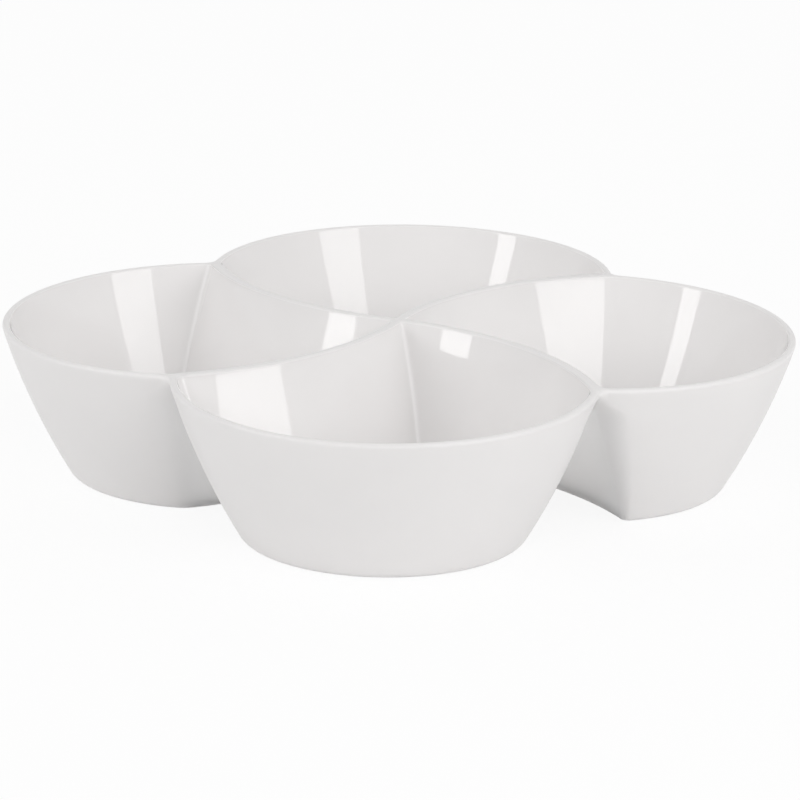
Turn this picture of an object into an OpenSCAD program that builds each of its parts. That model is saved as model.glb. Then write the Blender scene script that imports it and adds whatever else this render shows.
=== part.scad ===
// Divided serving dish: four bowls set in a ring round one middle point. The bowls are
// alike, each one the front bowl turned by quarter turns. From above a bowl is a round
// disc with a scoop out of one side, where its neighbour's rim runs in to the middle.
// Neighbours are bonded along the upright lands at the top of the wall between them,
// and below the lands their walls draw apart down to their own flat bases.
// Lengths are in millimetres. The dish stands on z = 0 with its middle at x = y = 0.

/* [Plan] */
// Width of one bowl over its round rim
bowl_w = 157; // [145:1:170]
// How far a bowl's round rim, carried on, would pass the middle of the dish
rim_overlap = 7; // [5:0.5:10]
// Bow of the wall between two bowls, as a share of its straight length
divider_bow_share = 0.124; // [0.11:0.002:0.14]

/* [Height] */
// Height of the rim at the middle of the dish
rim_h = 61; // [54:1:70]
// Fall of the rim from the middle to its outermost points
rim_drop = 2.8; // [1.6:0.2:5]

/* [Walls] */
// Thickness of a wall, and of the rim over a bonded pair of walls
wall_t = 3; // [2.4:0.2:3.6]
// Thickness of the floor
floor_t = 3; // [2:0.2:5]
// Run of a round wall inwards from the rim to the base
round_flare = 27; // [22:0.5:30]
// Outward bulge of a round wall over its straight line
round_crown = 2.1; // [1:0.1:3.5]
// Run of a wall that bows out under its neighbour's rim, inwards from the rim to the base
divider_flare = 24; // [20:0.5:28]
// Run of a scooped wall away from its neighbour, from the rim to the base
scoop_flare = 21.5; // [18:0.5:25]

/* [Edges] */
// Height of the bevel round the base
base_bevel = 1.5; // [0.5:0.1:2.5]
// Height of the bevel between the walls and the floor inside a bowl
floor_bevel = 5; // [3:0.5:7]

/* [Hidden] */

// Quarter turns that the bowls stand apart
quarter = 90;
// Facets of a full turn, and of the dome's wide circle
turn_facets = 180;
dome_facets = 3600;
// Cones that a round wall's bulge is built up from, one above the other
wall_bands = 6;
// Depth by which a cutting body runs past what it cuts
overrun = wall_t;

// Middle of a bowl's rim from the middle of the dish, and the width of the whole dish
bowl_r = bowl_w / 2;
reach = bowl_r - rim_overlap;
overall_w = 2 * (reach + bowl_r);
half_wall = wall_t / 2;
rim_line_r = bowl_r - half_wall;

// Two neighbouring rims cross at the waist; from there the divider bows in to the middle
diagonal = reach / sqrt(2);
waist = diagonal + sqrt(rim_line_r * rim_line_r - diagonal * diagonal);
divider_bow = divider_bow_share * waist;
divider_r = bow_radius(waist, divider_bow);
divider_back = divider_r - divider_bow;
divider_at = [(waist / 2 - divider_back) / sqrt(2), -(waist / 2 + divider_back) / sqrt(2)];
// The neighbour's divider that scoops this bowl is the same one a quarter turn back
scoop_at = [divider_at.y, -divider_at.x];

// Round walls follow an arc in section, on this chord and radius
chord = norm([round_flare, rim_h]);
crown_r = bow_radius(chord, round_crown);
crown_back = crown_r - round_crown;

// The rim's top is part of one wide dome over the whole dish
dome_r = bow_radius(overall_w, rim_drop);
edge_h = rim_h - rim_drop;
top = rim_h + overrun;
// Radius that a bowl's round wall would reach at the height of the dish's middle
round_r = bowl_r - round_wall(0, edge_h);

// Radius of the arc that bows by a given height over a straight length
function bow_radius(length, bow) = (length * length / 4 + bow * bow) / (2 * bow);

// Middle of the arc of a round wall that stands rim_r from its axis at the rim's height
function crown_at(rim_r) = [
    rim_r - round_flare / 2 - crown_back * rim_h / chord,
    rim_h / 2 + crown_back * round_flare / chord
];

// Distance of a round wall, a bowed divider wall and a scooped wall from their axes at height z
function round_wall(rim_r, z) =
    crown_at(rim_r).x + sqrt(crown_r * crown_r - (z - crown_at(rim_r).y) * (z - crown_at(rim_r).y));
function bowed_wall(rim_r, z, flare) = rim_r + (round_wall(rim_r, z) - rim_r) * flare / round_flare;
function scooped_wall(rim_r, z) = rim_r + scoop_flare * (1 - z / rim_h);

// Half section inside a bowed wall, from a bevelled bottom edge up past the rim
module bowed_section(rim_r, bottom, bevel, flare) {
    low = bottom + bevel;
    polygon([
        [0, bottom],
        [bowed_wall(rim_r, bottom, flare) - bevel, bottom],
        for (i = [0 : wall_bands])
            let (z = low + (edge_h - low) * i / wall_bands) [bowed_wall(rim_r, z, flare), z],
        [bowed_wall(rim_r, top, flare), top],
        [0, top]
    ]);
}

// Half section of the space that the neighbour takes beside a scooped wall
module scoop_section(rim_r, bottom, bevel) {
    foot = scooped_wall(rim_r, bottom) + bevel;
    polygon([
        [0, bottom - overrun],
        [foot, bottom - overrun],
        [foot, bottom],
        [scooped_wall(rim_r, bottom + bevel), bottom + bevel],
        [scooped_wall(rim_r, top), top],
        [0, top]
    ]);
}

// Everything under the domed top of the rim. The dome is turned about a level line far
// below the dish, which keeps the poles of its sphere away from the rim.
module under_dome() {
    half_turn = asin(overall_w / dome_r);
    translate([0, 0, rim_h - dome_r])
        rotate([quarter, 0, quarter])
            rotate_extrude(angle = 2 * half_turn, start = quarter - half_turn, $fn = dome_facets)
                intersection() {
                    circle(r = dome_r, $fn = dome_facets);
                    translate([dome_r - overall_w, -overall_w]) square([overall_w + overrun, 2 * overall_w]);
                }
}

module turned_at(place) {
    translate(place) rotate_extrude($fn = turn_facets) children();
}

// Outer form of the front bowl, with its half of each bonded wall
module bowl_form() {
    difference() {
        intersection() {
            turned_at([0, -reach]) bowed_section(round_r, 0, base_bevel, round_flare);
            turned_at(divider_at)
                intersection() {
                    bowed_section(divider_r + half_wall, 0, base_bevel, divider_flare);
                    square([divider_r, top]);
                }
        }
        turned_at(scoop_at) {
            scoop_section(divider_r - half_wall, 0, base_bevel);
            square([divider_r, top]);
        }
    }
}

// Space inside the front bowl
module bowl_inside() {
    difference() {
        intersection() {
            turned_at([0, -reach])
                bowed_section(round_r - wall_t, floor_t, floor_bevel, round_flare);
            turned_at(divider_at)
                bowed_section(divider_r - half_wall, floor_t, floor_bevel, divider_flare);
        }
        turned_at(scoop_at) scoop_section(divider_r + half_wall, floor_t, floor_bevel);
    }
}

// The front bowl, cut to the dome last
module bowl() {
    intersection() {
        difference() {
            bowl_form();
            bowl_inside();
        }
        under_dome();
    }
}

module front_bowl() color("whitesmoke") bowl();
module right_bowl() color("whitesmoke") rotate(quarter) bowl();
module back_bowl() color("whitesmoke") rotate(2 * quarter) bowl();
module left_bowl() color("whitesmoke") rotate(3 * quarter) bowl();

front_bowl();
right_bowl();
back_bowl();
left_bowl();
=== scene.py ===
import bpy, bmesh, math
from mathutils import Matrix, Vector


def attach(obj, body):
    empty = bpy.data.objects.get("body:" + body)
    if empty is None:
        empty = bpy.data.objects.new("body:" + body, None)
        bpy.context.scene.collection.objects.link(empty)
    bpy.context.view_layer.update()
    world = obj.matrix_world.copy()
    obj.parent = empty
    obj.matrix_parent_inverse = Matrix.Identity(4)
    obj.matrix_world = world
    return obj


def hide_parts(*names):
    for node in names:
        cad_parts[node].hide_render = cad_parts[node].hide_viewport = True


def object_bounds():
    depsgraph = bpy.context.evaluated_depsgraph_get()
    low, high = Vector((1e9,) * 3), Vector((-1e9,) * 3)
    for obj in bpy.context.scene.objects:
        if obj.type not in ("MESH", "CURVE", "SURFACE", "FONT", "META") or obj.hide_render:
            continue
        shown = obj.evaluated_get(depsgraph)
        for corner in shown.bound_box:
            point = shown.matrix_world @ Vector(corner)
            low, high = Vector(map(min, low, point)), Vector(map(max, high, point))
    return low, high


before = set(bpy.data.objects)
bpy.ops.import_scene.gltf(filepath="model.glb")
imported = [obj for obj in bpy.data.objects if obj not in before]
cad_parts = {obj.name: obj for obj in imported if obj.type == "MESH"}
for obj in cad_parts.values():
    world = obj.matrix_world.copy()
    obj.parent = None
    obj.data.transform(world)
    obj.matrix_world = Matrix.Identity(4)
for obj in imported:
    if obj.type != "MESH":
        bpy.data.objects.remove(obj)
cadLow, cadHigh = [Vector(corner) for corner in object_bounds()]
mm = 0.001

# Camera, as the photograph was taken: a long lens, a little above the rims
lens = {
    "turn": 3.69,                        # degrees round the dish from square on
    "rise": 16.94,
    "roll": 0.795,
    "distance": 1.99,
    "focal": 236.5,
    "aim": Vector((1.0, 0, 29.3)) * mm,
}


def placeCamera():
    rise = math.radians(lens["rise"])
    back = Vector((0, -math.cos(rise), math.sin(rise)))
    right = Vector((1, 0, 0))
    axes = Matrix((right, back.cross(right), back)).transposed()
    axes = axes @ Matrix.Rotation(math.radians(lens["roll"]), 3, "Z")
    turn = Matrix.Rotation(math.radians(lens["turn"]), 4, "Z")
    bpy.ops.object.camera_add()
    camera = bpy.context.object
    camera.name = "photoCamera"
    camera.data.lens = lens["focal"]
    camera.data.clip_end = 10 * lens["distance"]
    place = Matrix.Translation(lens["aim"] + back * lens["distance"])
    camera.matrix_world = turn @ place @ axes.to_4x4()
    bpy.context.scene.camera = camera


placeCamera()
print("camera placed")

# The dish's own sizes. The front bowl lies towards -Y, and the others are quarter turns of it.
dish = {
    "rimRadius": 78.5 * mm,
    "rimLine": 77 * mm,                  # middle of the rim's thickness
    "rimFall": 2.8 * mm,                 # outermost rim, below the rim at the middle
    "dividerBow": 0.124,                 # share of a divider's straight length
    "wall": 3 * mm,
    "floor": 3 * mm,
    "roundRun": 27 * mm,                 # round walls lean in by this from rim to base
    "roundBulge": 2.1 * mm,
    "dividerRun": 24 * mm,               # the same for a wall that bows out under a neighbour's
    "scoopRun": 21.5 * mm,               # scooped walls lean away from the neighbour by this
}

# How soft the edges and corners of a bowl are. Upright corners have a radius at the base
# or floor, and another at the rim.
edges = {
    "rim": 1.25 * mm,
    "rimLean": math.radians(17),         # the rim's inner edge meets the wall leaning by this
    "base": 2.2 * mm,
    "floor": 9 * mm,
    "waistOut": (12 * mm, 45 * mm),      # the round wall easing into the divider wall
    "middleOut": (2.5 * mm, 2.5 * mm),
    "scoopOut": (3 * mm, 14 * mm),       # the outer corner beside a scooped wall
    "waistIn": (1.5 * mm, 15 * mm),
    "middleIn": (1.4 * mm, 2 * mm),
    "scoopIn": (1.6 * mm, 3.8 * mm),
    "waistWeb": 5 * mm,                  # where two rims run together, seen from above
    "web": 4 * mm,
    "partAt": 8.5 * mm,                  # neighbouring walls part this far below the rim
    "partOver": 5 * mm,
    "landFrom": 25.5 * mm,               # closer rings from this far below the rim
}

# Columns round a bowl and rings up it
columns = {"round": 44, "shoulder": 44, "corner": 12, "web": 8, "divider": 56}
shoulderTurn = 1                         # radians of round wall beside each waist
rings = {
    "cap": 5, "baseEdge": 7, "wall": 16, "land": 20, "rim": 9, "inside": 26, "floorEdge": 12}

halfWall = dish["wall"] / 2
high = cadHigh.z
reach = cadHigh.x - dish["rimRadius"]


def plan(x, y):
    return Vector((x, y))


def quarterBack(p):
    return plan(p.y, -p.x)


def bowRadius(length, bow):
    return (length * length / 4 + bow * bow) / (2 * bow)


# Middles of the walls' arcs, seen from above
diagonal = reach / math.sqrt(2)
waist = diagonal + math.sqrt(dish["rimLine"] ** 2 - diagonal ** 2)
dividerRadius = bowRadius(waist, dish["dividerBow"] * waist)
dividerBack = dividerRadius - dish["dividerBow"] * waist
bowlAt, rightAt, leftAt = plan(0, -reach), plan(reach, 0), plan(-reach, 0)
dividerAt = plan(waist / 2 - dividerBack, -waist / 2 - dividerBack) / math.sqrt(2)
scoopAt = quarterBack(dividerAt)
ownWaist = plan(waist, -waist) / math.sqrt(2)
scoopWaist = quarterBack(ownWaist)

# Round walls follow an arc in section, and the rims lie in one wide dome
chord = math.hypot(dish["roundRun"], high)
bulgeRadius = bowRadius(chord, dish["roundBulge"])
bulgeBack = bulgeRadius - dish["roundBulge"]
domeRadius = bowRadius(2 * cadHigh.x, dish["rimFall"])


def domeHeight(p):
    return high - domeRadius + math.sqrt(domeRadius ** 2 - p.length_squared)


# How far in a round wall is at height z, from where it is at the height of the middle
def roundIn(z):
    level = high / 2 + bulgeBack * dish["roundRun"] / chord
    side = -dish["roundRun"] / 2 - bulgeBack * high / chord
    return side + math.sqrt(bulgeRadius ** 2 - (z - level) ** 2)


def dividerIn(z):
    return roundIn(z) * dish["dividerRun"] / dish["roundRun"]


def roundRadius(z):
    return dish["rimRadius"] - roundIn(high - dish["rimFall"]) + roundIn(z)


def scoopOut(z):
    return dish["scoopRun"] * (1 - z / high)


# The point near a given one where two circles cross
def crossing(a, ra, b, rb, near):
    apart = b - a
    along = (ra * ra - rb * rb + apart.length_squared) / (2 * apart.length)
    across = math.sqrt(max(ra * ra - along * along, 0))
    middle = a + apart.normalized() * along
    side = plan(-apart.y, apart.x).normalized() * across
    return min((middle + side, middle - side), key=lambda p: (p - near).length)


def angleOf(p):
    return math.atan2(p.y, p.x)


# Points from start up to, but not at, the end of an arc. way is 1 or -1, or 0 for the
# short way round.
def arcPoints(middle, start, end, count, way=0):
    first, sweep = angleOf(start - middle), angleOf(end - middle) - angleOf(start - middle)
    sweep = (sweep + math.pi) % (2 * math.pi) - math.pi
    if way * sweep < 0:
        sweep += 2 * math.pi * way
    near, far = (start - middle).length, (end - middle).length
    points = []
    for k in range(count):
        share = k / count
        turn, radius = first + sweep * share, near + (far - near) * share
        points.append(middle + plan(math.cos(turn), math.sin(turn)) * radius)
    return points


def linePoints(start, end, count):
    return [start.lerp(end, k / count) for k in range(count)]


def turnedAbout(middle, p, angle):
    return middle + Matrix.Rotation(angle, 2) @ (p - middle)


def roundedCorner(a, ra, sideA, b, rb, sideB, soft, near):
    sharp = crossing(a, ra, b, rb, near)
    middle = crossing(a, ra - sideA * soft, b, rb - sideB * soft, sharp)
    onA = a + (middle - a).normalized() * ra
    onB = b + (middle - b).normalized() * rb
    return middle, onA, onB


# The round wall, in three runs that end at the same angles at every height, so that outlines
# of different corners can be blended column by column
def roundPoints(roundR, start, end):
    marks = []
    for mark, back in ((scoopWaist, shoulderTurn), (ownWaist, -shoulderTurn)):
        turn = angleOf(mark - bowlAt) + back
        marks.append(bowlAt + plan(math.cos(turn), math.sin(turn)) * roundR)
    return (
        arcPoints(bowlAt, start, marks[0], columns["shoulder"], 1)
        + arcPoints(bowlAt, marks[0], marks[1], columns["round"], 1)
        + arcPoints(bowlAt, marks[1], end, columns["shoulder"], 1)
    )


# Radii of the upright corners at height z
def cornerSofts(z, kind):
    softs = []
    for corner in ("waist", "middle", "scoop"):
        low, top = edges[corner + kind]
        softs.append(low + (top - low) * min(z / high, 1))
    return softs


# Outline of a bowl at height z where its walls stand free, inside or outside, drawn in by inset
def freeOutline(z, inside, inset=0):
    skin = dish["wall"] if inside else 0
    roundR = roundRadius(z) - skin - inset
    dividerR = dividerRadius + halfWall + dividerIn(z) - skin
    scoopR = dividerRadius - halfWall + scoopOut(z) + skin
    if not inside:
        dividerR, scoopR = min(dividerR, dividerRadius), max(scoopR, dividerRadius)
    dividerR, scoopR = dividerR - inset, scoopR + inset
    waistSoft, middleSoft, scoopSoft = cornerSofts(z, "In" if inside else "Out")
    own, ownStart, ownEnd = roundedCorner(
        bowlAt, roundR, 1, dividerAt, dividerR, 1, waistSoft, ownWaist)
    tip, tipStart, tipEnd = roundedCorner(
        dividerAt, dividerR, 1, scoopAt, scoopR, -1, middleSoft, plan(0, 0))
    far, farStart, farEnd = roundedCorner(
        scoopAt, scoopR, -1, bowlAt, roundR, 1, scoopSoft, scoopWaist)
    dividerStart = turnedAbout(dividerAt, ownEnd, edges["web"] / dividerR)
    scoopEnd = turnedAbout(scoopAt, farStart, edges["web"] / scoopR)
    return (
        roundPoints(roundR, farEnd, ownStart)
        + arcPoints(own, ownStart, ownEnd, columns["corner"])
        + arcPoints(dividerAt, ownEnd, dividerStart, columns["web"])
        + arcPoints(dividerAt, dividerStart, tipStart, columns["divider"])
        + arcPoints(tip, tipStart, tipEnd, columns["corner"])
        + arcPoints(scoopAt, tipEnd, scoopEnd, columns["divider"])
        + arcPoints(scoopAt, scoopEnd, farStart, columns["web"])
        + arcPoints(far, farStart, farEnd, columns["corner"])
    )


# The little fillet where two round rims run together, where it touches the bowl's own rim,
# and its point halfway between the two bowls
def rimFillet(roundR, neighbourAt, waistAt):
    soft = edges["waistWeb"]
    middle = crossing(bowlAt, roundR + soft, neighbourAt, roundR + soft, waistAt)
    touch = bowlAt + (middle - bowlAt).normalized() * roundR
    return middle, touch, middle - middle.normalized() * soft


# Outline of a bowl at height z where it is bonded to its neighbours
def bondedOutline(z):
    roundR = roundRadius(z)
    own, ownStart, ownEnd = rimFillet(roundR, rightAt, ownWaist)
    far, farEnd, farStart = rimFillet(roundR, leftAt, scoopWaist)
    middle = plan(0, 0)
    return (
        roundPoints(roundR, farEnd, ownStart)
        + arcPoints(own, ownStart, ownEnd, columns["corner"])
        + linePoints(ownEnd, ownWaist, columns["web"])
        + arcPoints(dividerAt, ownWaist, middle, columns["divider"])
        + [middle] * columns["corner"]
        + arcPoints(scoopAt, middle, scoopWaist, columns["divider"])
        + linePoints(scoopWaist, farStart, columns["web"])
        + arcPoints(far, farStart, farEnd, columns["corner"])
    )


def ease(x):
    x = min(max(x, 0), 1)
    return x * x * (3 - 2 * x)


def outerOutline(z, inset=0):
    free = freeOutline(z, False, inset)
    bond = ease((z - (high - edges["partAt"])) / (2 * edges["partOver"]) + 0.5)
    if bond == 0:
        return free
    return [a.lerp(b, bond) for a, b in zip(free, bondedOutline(z))]


def innerOutline(z, inset=0):
    return freeOutline(z, True, inset)


# A wall as outlines at even steps of height, read at any height between them
class Wall:
    def __init__(self, outlineAt, step=0.5 * mm):
        self.step = step
        self.outlines = [outlineAt(k * step) for k in range(int(high / step) + 3)]

    def point(self, column, z):
        k = int(z / self.step)
        share = z / self.step - k
        low, over = self.outlines[k][column], self.outlines[k + 1][column]
        return low.lerp(over, share)


def raised(p, z):
    return Vector((p.x, p.y, z))


# Rings that carry an outline in to one point
def capRings(outline, z, steps):
    middle = sum(outline, plan(0, 0)) / len(outline)
    return [[raised(middle.lerp(p, k / steps), z) for p in outline] for k in range(steps)]


# Rings round a soft corner between a wall at one height and a flat outline at another
def edgeRings(wallOutline, wallZ, corner, flatOutline, flatZ, steps):
    made = []
    for k in range(steps + 1):
        t = k / steps
        z = wallZ + (flatZ - wallZ) * (1 - (1 - t) ** 2)
        made.append([
            raised(a * (1 - t) ** 2 + b * 2 * t * (1 - t) + c * t * t, z)
            for a, b, c in zip(wallOutline, corner, flatOutline)
        ])
    return made


# How far the rim's top has dropped at a distance from its edge
def edgeDrop(distance):
    soft = edges["rim"]
    if distance >= soft:
        return 0
    return soft - math.sqrt(soft * soft - (soft - max(distance, 0)) ** 2)


def innerDrop(distance):
    return edgeDrop(distance + edges["rim"] * (1 - math.cos(edges["rimLean"])))


# How far a point of the rim lies inside the outer edge that the joined rims share
def insideEdge(p, roundR):
    for neighbourAt, waistAt in ((rightAt, ownWaist), (leftAt, scoopWaist)):
        middle, touch, fork = rimFillet(roundR, neighbourAt, waistAt)
        if (p - middle).angle(fork - middle) < (touch - middle).angle(fork - middle):
            return (p - middle).length - edges["waistWeb"]
    return roundR - (p - bowlAt).length


def bowlRings():
    outer, inner = Wall(outerOutline), Wall(innerOutline)
    count = len(outer.outlines[0])
    allColumns = range(count)
    # where the rim starts on the outer wall and ends on the inner one
    nearTop = high - dish["rimFall"]
    rimZ = [domeHeight(outer.point(i, nearTop)) - edges["rim"] for i in allColumns]
    rimR = [roundRadius(z) for z in rimZ]
    inside = [insideEdge(outer.point(i, rimZ[i]), rimR[i]) for i in allColumns]
    outerTop = [rimZ[i] + edges["rim"] - edgeDrop(inside[i]) for i in allColumns]
    innerTop = [domeHeight(inner.point(i, rimZ[i])) - innerDrop(0) for i in allColumns]

    # each ring goes with how far over to the inside of the bowl it lies, from 0 to 1
    flat = outerOutline(0, edges["base"])
    made = capRings(flat, 0, rings["cap"])
    made += reversed(edgeRings(
        outerOutline(edges["base"]), edges["base"], outerOutline(0),
        flat, 0, rings["baseEdge"]))

    landLow = high - edges["landFrom"]
    for k in range(1, rings["wall"] + 1):
        z = edges["base"] + (landLow - edges["base"]) * k / rings["wall"]
        made.append([raised(outer.point(i, z), z) for i in allColumns])
    for k in range(1, rings["land"] + 1):
        heights = [landLow + (top - landLow) * k / rings["land"] for top in outerTop]
        made.append([
            raised(outer.point(i, min(heights[i], rimZ[i])), heights[i]) for i in allColumns])
    overs = [0] * len(made)

    # over the rim, rounded at both edges
    starts = [outer.point(i, rimZ[i]) for i in allColumns]
    ends = [inner.point(i, innerTop[i]) for i in allColumns]
    widths = [(b - a).length for a, b in zip(starts, ends)]
    steps = rings["rim"]
    for k in range(1, 2 * steps + 1):
        ring = []
        for i in allColumns:
            soft = min(edges["rim"], widths[i] / 2)
            if k <= steps:
                across = soft * (1 - math.cos(math.pi / 2 * k / steps))
            else:
                across = widths[i] - soft * (1 - math.sin(math.pi / 2 * (k - steps) / steps))
            p = starts[i].lerp(ends[i], across / widths[i])
            drop = edgeDrop(insideEdge(p, rimR[i])) + innerDrop(widths[i] - across)
            ring.append(raised(p, domeHeight(p) - drop))
        made.append(ring)
        overs.append(k / (2 * steps))

    # down the inside and across the floor
    floorLow = dish["floor"] + edges["floor"]
    for k in range(1, rings["inside"]):
        heights = [top + (floorLow - top) * k / rings["inside"] for top in innerTop]
        made.append([raised(inner.point(i, heights[i]), heights[i]) for i in allColumns])
    flat = innerOutline(dish["floor"], edges["floor"])
    made += edgeRings(
        innerOutline(floorLow), floorLow, innerOutline(dish["floor"]),
        flat, dish["floor"], rings["floorEdge"])
    made += reversed(capRings(flat, dish["floor"], rings["cap"]))
    overs += [1] * (len(made) - len(overs))
    return list(zip(made, overs))


# 1 on the columns that face a neighbour, easing to 0 round the corners beside them
def facingNeighbour():
    corner = columns["corner"]
    easing = [k / corner for k in range(corner)]
    across = 2 * (columns["web"] + columns["divider"]) + corner
    away = [0] * (2 * columns["shoulder"] + columns["round"])
    return away + easing + [1] * across + [1 - share for share in easing]


def setRing(first, ring, over, facing):
    mesh = bmesh.from_edit_mesh(bpy.context.object.data)
    mesh.verts.ensure_lookup_table()
    marks = mesh.verts.layers.float
    insideMark, facingMark = marks["inside"], marks["facing"]
    for k, p in enumerate(ring):
        mesh.verts[first + k].co = p
        mesh.verts[first + k][insideMark] = over
        mesh.verts[first + k][facingMark] = facing[k]
    bmesh.update_edit_mesh(bpy.context.object.data)


joinWithin = 0.001 * mm
smoothUpTo = math.radians(40)


# A bowl is pulled up ring by ring from a circle at the middle of its base, over the rim
# and down to the middle of its floor
def modelBowl(name):
    made, facing = bowlRings(), facingNeighbour()
    count = len(facing)
    bpy.ops.object.select_all(action="DESELECT")
    bpy.ops.mesh.primitive_circle_add(vertices=count, radius=dish["rimRadius"])
    bowl = bpy.context.object
    bowl.name = bowl.data.name = name
    for mark in ("inside", "facing"):
        bowl.data.attributes.new(mark, "FLOAT", "POINT")
    bpy.ops.object.mode_set(mode="EDIT")
    bpy.ops.mesh.select_mode(type="VERT")
    bpy.ops.mesh.select_all(action="SELECT")
    setRing(0, *made[0], facing)
    for k, (ring, over) in enumerate(made[1:], 1):
        bpy.ops.mesh.extrude_edges_move()
        setRing(k * count, ring, over, facing)
    bpy.ops.mesh.select_all(action="SELECT")
    bpy.ops.mesh.remove_doubles(threshold=joinWithin)
    bpy.ops.mesh.normals_make_consistent(inside=False)
    bpy.ops.object.mode_set(mode="OBJECT")
    bpy.ops.object.shade_smooth_by_angle(angle=smoothUpTo)
    return bowl


def turnedCopy(source, name, quarters):
    bpy.ops.object.select_all(action="DESELECT")
    source.select_set(True)
    bpy.context.view_layer.objects.active = source
    bpy.ops.object.duplicate()
    copy = bpy.context.object
    copy.name = copy.data.name = name
    copy.rotation_euler.z = math.radians(90 * quarters)
    bpy.ops.object.transform_apply(location=True, rotation=True, scale=True)
    return copy


frontBowl = modelBowl("frontBowlShell")
bowls = {
    "front_bowl": frontBowl,
    "right_bowl": turnedCopy(frontBowl, "rightBowlShell", 1),
    "back_bowl": turnedCopy(frontBowl, "backBowlShell", 2),
    "left_bowl": turnedCopy(frontBowl, "leftBowlShell", 3),
}
print("bowls modelled:", len(frontBowl.data.polygons), "faces each")


# Material: white moulded plastic, polished inside the bowls and satin outside
plastic = {
    "colour": (0.84, 0.825, 0.82),
    "outsidePaintedShade": 0.94,                 # painted shade: the outside is painted this much darker
    "mottleSize": 35 * mm,
    "mottle": 0.025,                     # share by which the tone drifts
    "polished": 0.05,                    # roughness inside, and outside
    "satin": 0.5,
    "satinDrift": 0.12,                  # share by which the roughness drifts
    "polishOver": (0.7, 1),              # where on the way in over the rim the polish begins
    "outsideUpTo": (0, 0.2),             # and where the outside ends
    "waveSize": 14 * mm,                 # slow waves in the polished side
    "waveHeight": 0.012 * mm,
    "grainSize": 0.9 * mm,               # fine grain on the satin side
    "grainHeight": 0.01 * mm,
    "ior": 1.6,
    "throughWall": 1,                    # light carried through into the gap between two
    "throughUpTo": (46 * mm, 56 * mm),   # bowls, up to where their walls touch
    "depth": 120 * mm,                   # how far that light spreads, by colour too
    "depthByColour": (1, 0.95, 0.9),
}


noiseSpan = (0.3, 0.7)                   # values that a noise mostly keeps to


def attributeNode(nodes, name):
    attribute = nodes.new("ShaderNodeAttribute")
    attribute.attribute_name = name
    return attribute.outputs["Fac"]


def noiseNode(nodes, links, coords, size, detail):
    noise = nodes.new("ShaderNodeTexNoise")
    noise.inputs["Scale"].default_value = 1 / size
    noise.inputs["Detail"].default_value = detail
    links.new(coords, noise.inputs["Vector"])
    return noise.outputs["Fac"]


def mappedNode(nodes, links, value, before, after):
    mapped = nodes.new("ShaderNodeMapRange")
    mapped.inputs["From Min"].default_value, mapped.inputs["From Max"].default_value = before
    mapped.inputs["To Min"].default_value, mapped.inputs["To Max"].default_value = after
    links.new(value, mapped.inputs["Value"])
    return mapped.outputs["Result"]


def mathNode(nodes, links, operation, first, second):
    made = nodes.new("ShaderNodeMath")
    made.operation = operation
    links.new(first, made.inputs[0])
    links.new(second, made.inputs[1])
    return made.outputs[0]


def bumpNode(nodes, links, height, distance, strength):
    bump = nodes.new("ShaderNodeBump")
    bump.inputs["Distance"].default_value = distance
    links.new(height, bump.inputs["Height"])
    links.new(strength, bump.inputs["Strength"])
    return bump


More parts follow.
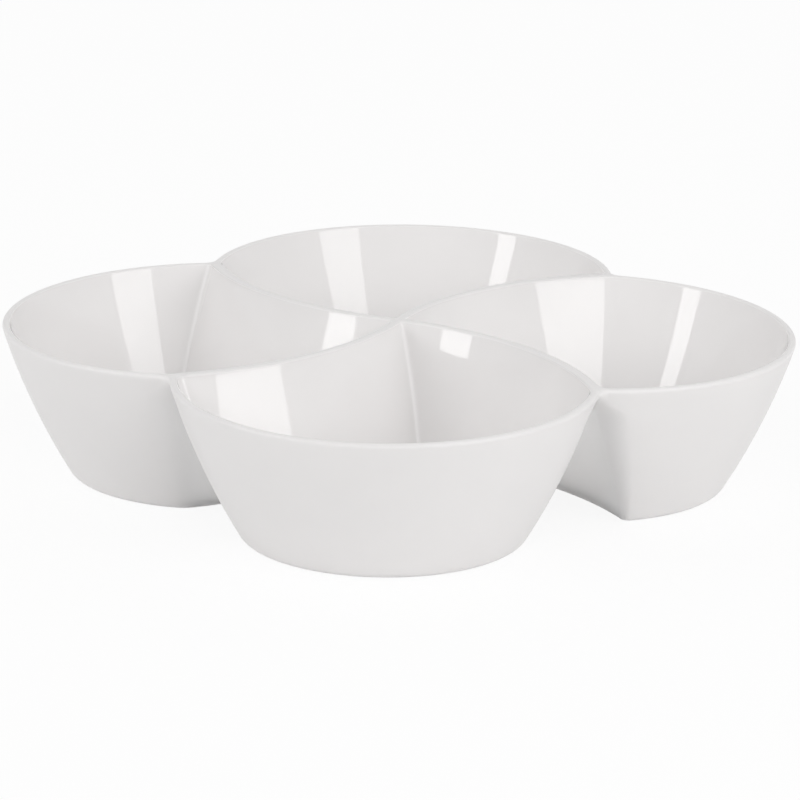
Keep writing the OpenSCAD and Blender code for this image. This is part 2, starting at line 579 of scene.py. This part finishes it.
def plasticMaterial():
    material = bpy.data.materials.new("whiteMouldedPlastic")
    material.use_nodes = True
    nodes, links = material.node_tree.nodes, material.node_tree.links
    shader = nodes["Principled BSDF"]
    shader.inputs["IOR"].default_value = plastic["ior"]
    shader.inputs["Subsurface Radius"].default_value = plastic["depthByColour"]
    shader.inputs["Subsurface Scale"].default_value = plastic["depth"]

    coords = nodes.new("ShaderNodeTexCoord").outputs["Object"]
    side, facing = attributeNode(nodes, "inside"), attributeNode(nodes, "facing")
    polished = mappedNode(nodes, links, side, plastic["polishOver"], (0, 1))
    satin = mappedNode(nodes, links, side, plastic["polishOver"], (1, 0))
    outer = mappedNode(nodes, links, side, plastic["outsideUpTo"], (1, 0))
    gap = mathNode(nodes, links, "MULTIPLY", facing, outer)

    # tone: random mottle, with painted shade on the outside and painted light on the walls that
    # face a neighbour
    mottle = noiseNode(nodes, links, coords, plastic["mottleSize"], 3)
    drift = mappedNode(nodes, links, mottle, noiseSpan, (1 - plastic["mottle"], 1))
    # painted shade: the outside of each bowl is painted darker than the inside
    paintedShadeOutside = mappedNode(nodes, links, side, (0, 1), (plastic["outsidePaintedShade"], 1))
    # painted light: outside walls facing a neighbour, in the gaps between bowls, keep the full
    # colour
    paintedGapLight = mappedNode(nodes, links, gap, (0, 1), (plastic["outsidePaintedShade"], 1))
    paintedShadeAndGapLight = mathNode(nodes, links, "MAXIMUM", paintedShadeOutside, paintedGapLight)
    mottleAndPaintedShade = mathNode(nodes, links, "MULTIPLY", drift, paintedShadeAndGapLight)
    colour = nodes.new("ShaderNodeVectorMath")
    colour.operation = "SCALE"
    colour.inputs[0].default_value = plastic["colour"]
    links.new(mottleAndPaintedShade, colour.inputs["Scale"])
    links.new(colour.outputs["Vector"], shader.inputs["Base Color"])

    # gloss
    grain = noiseNode(nodes, links, coords, plastic["grainSize"], 2)
    wave = noiseNode(nodes, links, coords, plastic["waveSize"], 1)
    base = mappedNode(nodes, links, polished, (0, 1), (plastic["satin"], plastic["polished"]))
    uneven = (1 - plastic["satinDrift"], 1 + plastic["satinDrift"])
    unevenness = mappedNode(nodes, links, mottle, noiseSpan, uneven)
    links.new(mathNode(nodes, links, "MULTIPLY", base, unevenness), shader.inputs["Roughness"])

    # grain outside, slow waves inside
    waves = bumpNode(nodes, links, wave, plastic["waveHeight"], polished)
    grains = bumpNode(nodes, links, grain, plastic["grainHeight"], satin)
    links.new(waves.outputs["Normal"], grains.inputs["Normal"])
    links.new(grains.outputs["Normal"], shader.inputs["Normal"])

    # light carried through the walls that face a neighbour
    place = nodes.new("ShaderNodeSeparateXYZ")
    links.new(coords, place.inputs["Vector"])
    below = mappedNode(
        nodes, links, place.outputs["Z"], plastic["throughUpTo"], (plastic["throughWall"], 0))
    through = mathNode(nodes, links, "MULTIPLY", gap, below)
    links.new(through, shader.inputs["Subsurface Weight"])
    return material


skin = plasticMaterial()
for node, shell in bowls.items():
    shell.data.materials.clear()
    shell.data.materials.append(skin)
    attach(shell, "root")
    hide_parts(node)
print("material set")

# Stage: a white table that keeps only a faint shadow, and the white surround
stage = {
    "size": 8,
    "colour": (0.95, 0.95, 0.95, 1),
    "roughness": 0.7,
    "shadowShare": 0.1,                  # how much of the dish's shadow the camera sees
    "surround": 1.15,                    # brightness of the surround
    # its bands, from level to overhead, and its share from the front to the back
    "bands": ((0, 0.02), (0.2, 0.15), (0.32, 1), (0.65, 1), (0.8, 0.35), (1, 0.15)),
    "frontToBack": (1.36, 0.76),
}


# 1 for rays that look at the background straight, by a reflection or through glass
def seenRay(nodes, links):
    path = nodes.new("ShaderNodeLightPath")
    seen = path.outputs["Is Camera Ray"]
    for name in ("Is Glossy Ray", "Is Transmission Ray"):
        either = nodes.new("ShaderNodeMath")
        either.operation = "MAXIMUM"
        links.new(seen, either.inputs[0])
        links.new(path.outputs[name], either.inputs[1])
        seen = either.outputs[0]
    return seen


def layTable():
    bpy.ops.object.select_all(action="DESELECT")
    bpy.ops.mesh.primitive_plane_add(size=stage["size"])
    table = bpy.context.object
    table.name = "whiteTable"
    material = bpy.data.materials.new("whiteTableTop")
    material.use_nodes = True
    nodes, links = material.node_tree.nodes, material.node_tree.links
    top = nodes["Principled BSDF"]
    top.inputs["Base Color"].default_value = stage["colour"]
    top.inputs["Roughness"].default_value = stage["roughness"]
    glow = nodes.new("ShaderNodeEmission")
    glow.inputs["Color"].default_value = (1, 1, 1, 1)
    share = nodes.new("ShaderNodeMath")
    share.operation = "MULTIPLY"
    share.inputs[1].default_value = 1 - stage["shadowShare"]
    links.new(seenRay(nodes, links), share.inputs[0])
    mix = nodes.new("ShaderNodeMixShader")
    links.new(share.outputs[0], mix.inputs["Fac"])
    links.new(top.outputs[0], mix.inputs[1])
    links.new(glow.outputs[0], mix.inputs[2])
    links.new(mix.outputs[0], nodes["Material Output"].inputs["Surface"])
    table.data.materials.append(material)


def paintSurround():
    world = bpy.data.worlds.new("studioWorld")
    bpy.context.scene.world = world
    world.use_nodes = True
    nodes, links = world.node_tree.nodes, world.node_tree.links
    light = nodes["Background"]
    direction = nodes.new("ShaderNodeTexCoord")
    way = nodes.new("ShaderNodeSeparateXYZ")
    bands = nodes.new("ShaderNodeValToRGB")
    stops = bands.color_ramp.elements
    while len(stops) < len(stage["bands"]):
        stops.new(0.5)
    for stop, (at, level) in zip(stops, stage["bands"]):
        stop.position = at
        stop.color = (level, level, level, 1)
    links.new(direction.outputs["Generated"], way.inputs["Vector"])
    links.new(way.outputs["Z"], bands.inputs["Fac"])
    links.new(bands.outputs["Color"], light.inputs["Color"])
    front, back = [stage["surround"] * share for share in stage["frontToBack"]]
    strength = mappedNode(nodes, links, way.outputs["Y"], (-1, 1), (front, back))
    links.new(strength, light.inputs["Strength"])
    seen = nodes.new("ShaderNodeBackground")
    seen.inputs["Color"].default_value = (1, 1, 1, 1)
    mix = nodes.new("ShaderNodeMixShader")
    links.new(seenRay(nodes, links), mix.inputs["Fac"])
    links.new(light.outputs[0], mix.inputs[1])
    links.new(seen.outputs[0], mix.inputs[2])
    links.new(mix.outputs[0], nodes["World Output"].inputs["Surface"])


# Soft boxes: where each stands, the width and height of its face, and how bright that face is
softBoxes = {
    "rightBox": {"at": (0.996, -0.755, 0.68), "size": (0.593, 1.21), "bright": 2.25},
    "leftBox": {"at": (-1.228, -0.672, 0.66), "size": (0.300, 1.16), "bright": 3.4},
}


def hangBox(name, box):
    at = Vector(box["at"])
    bpy.ops.object.light_add(type="AREA", location=at)
    lamp = bpy.context.object
    lamp.name = name
    lamp.data.shape = "RECTANGLE"
    lamp.data.size, lamp.data.size_y = box["size"]
    lamp.data.energy = box["bright"] * math.pi * box["size"][0] * box["size"][1]
    lamp.rotation_euler = Vector((-at.x, -at.y, 0)).to_track_quat("-Z", "Y").to_euler()
    lamp.visible_camera = False


layTable()
paintSurround()
for name, box in softBoxes.items():
    hangBox(name, box)
bpy.context.scene.view_settings.view_transform = "Standard"
print("stage and lights set")
